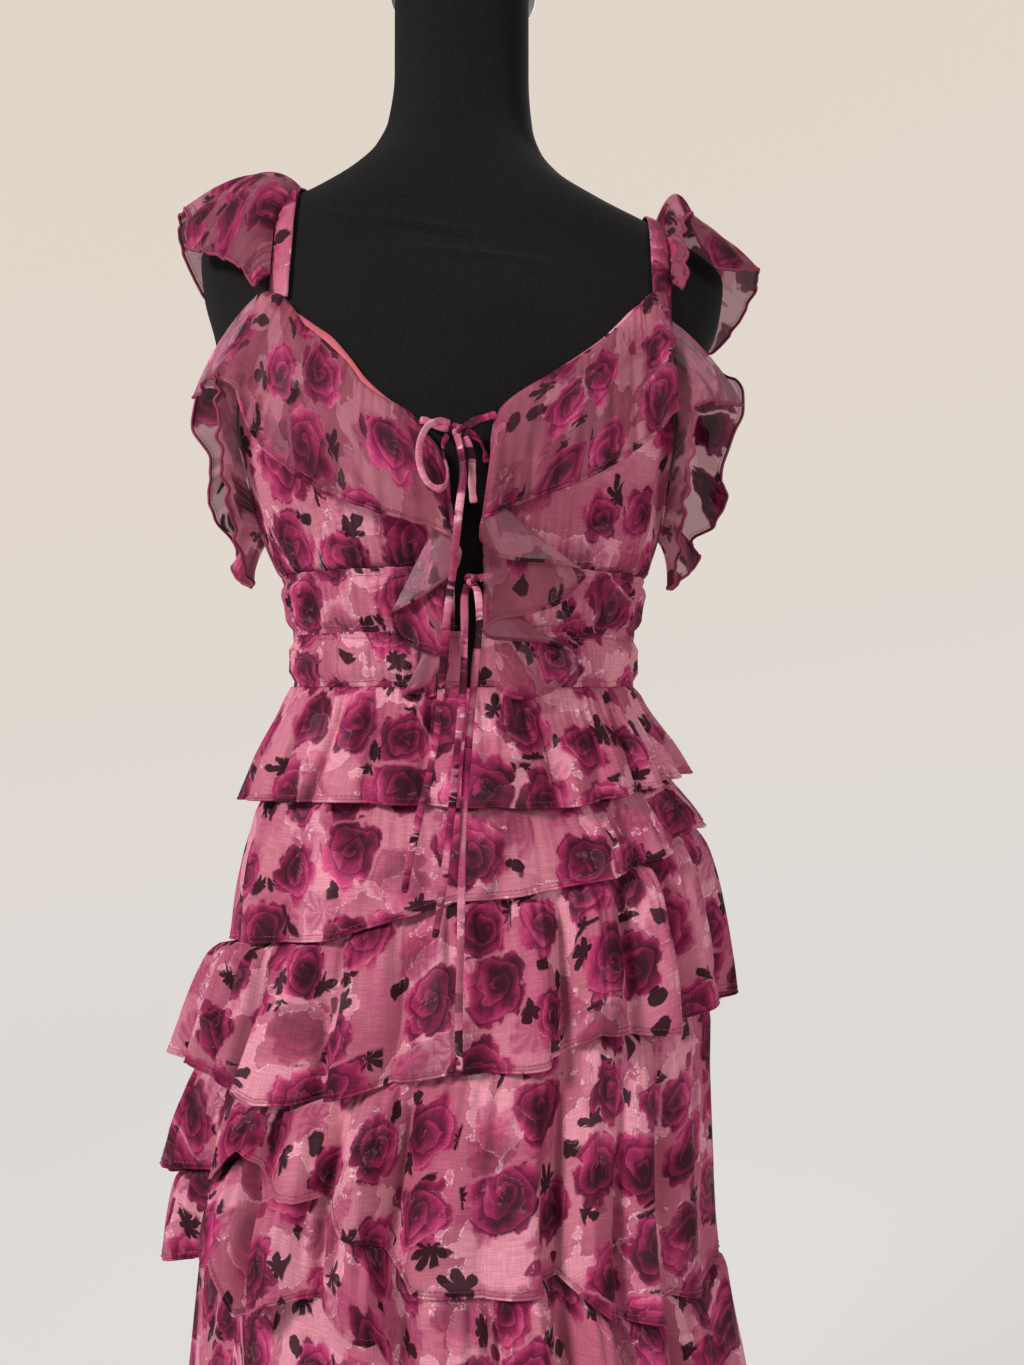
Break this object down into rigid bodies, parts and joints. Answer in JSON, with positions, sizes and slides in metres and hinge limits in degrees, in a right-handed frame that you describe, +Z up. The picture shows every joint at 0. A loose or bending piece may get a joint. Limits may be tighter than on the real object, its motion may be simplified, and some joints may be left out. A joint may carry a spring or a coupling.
{
  "type": "maxi dress on dress form",
  "caption": "Sleeveless maxi dress with ruffled straps, keyhole ties and a tiered ruffle skirt, worn on a limbless dress form with a round base.",
  "frame": {"origin": "centre of the underside of the stand's round base, on the floor", "axes": "+Z up along the pole; the dress faces -Y, and +X is to the viewer's right when looking at the front"},
  "size_m": [0.572, 0.4601, 1.5723],
  "materials": {
    "printed_chiffon": "sheer slubby weave with a rose print",
    "black_jersey": "matte knit cover",
    "cap_metal": "satin",
    "stand_metal": "satin black"
  },
  "bodies": {
    "root": {"form_torso": "black_jersey", "neck_cap": "cap_metal", "stand_base": "stand_metal", "stand_pole": "stand_metal", "bodice_front_left": "printed_chiffon", "bodice_front_right": "printed_chiffon", "bodice_back": "printed_chiffon", "waist_band_upper": "printed_chiffon", "waist_band_lower": "printed_chiffon", "neck_flounce_left": "printed_chiffon", "neck_flounce_right": "printed_chiffon", "armhole_flounce_left": "printed_chiffon", "armhole_flounce_right": "printed_chiffon", "strap_left": "printed_chiffon", "strap_right": "printed_chiffon", "strap_ruffle_left": "printed_chiffon", "strap_ruffle_right": "printed_chiffon", "tier_1": "printed_chiffon", "tier_2": "printed_chiffon", "tier_3": "printed_chiffon", "tier_4": "printed_chiffon", "tier_5": "printed_chiffon", "lower_skirt": "printed_chiffon", "knot_top": "printed_chiffon", "knot_middle": "printed_chiffon", "tie_top_left": "printed_chiffon", "tie_top_right": "printed_chiffon", "tie_mid_right": "printed_chiffon", "bow_loop_outer": "printed_chiffon", "bow_loop_right": "printed_chiffon", "tail_top_long": "printed_chiffon", "tail_top_short": "printed_chiffon", "tail_mid_left": "printed_chiffon", "tail_mid_right": "printed_chiffon"}
  },
  "joints": []
}
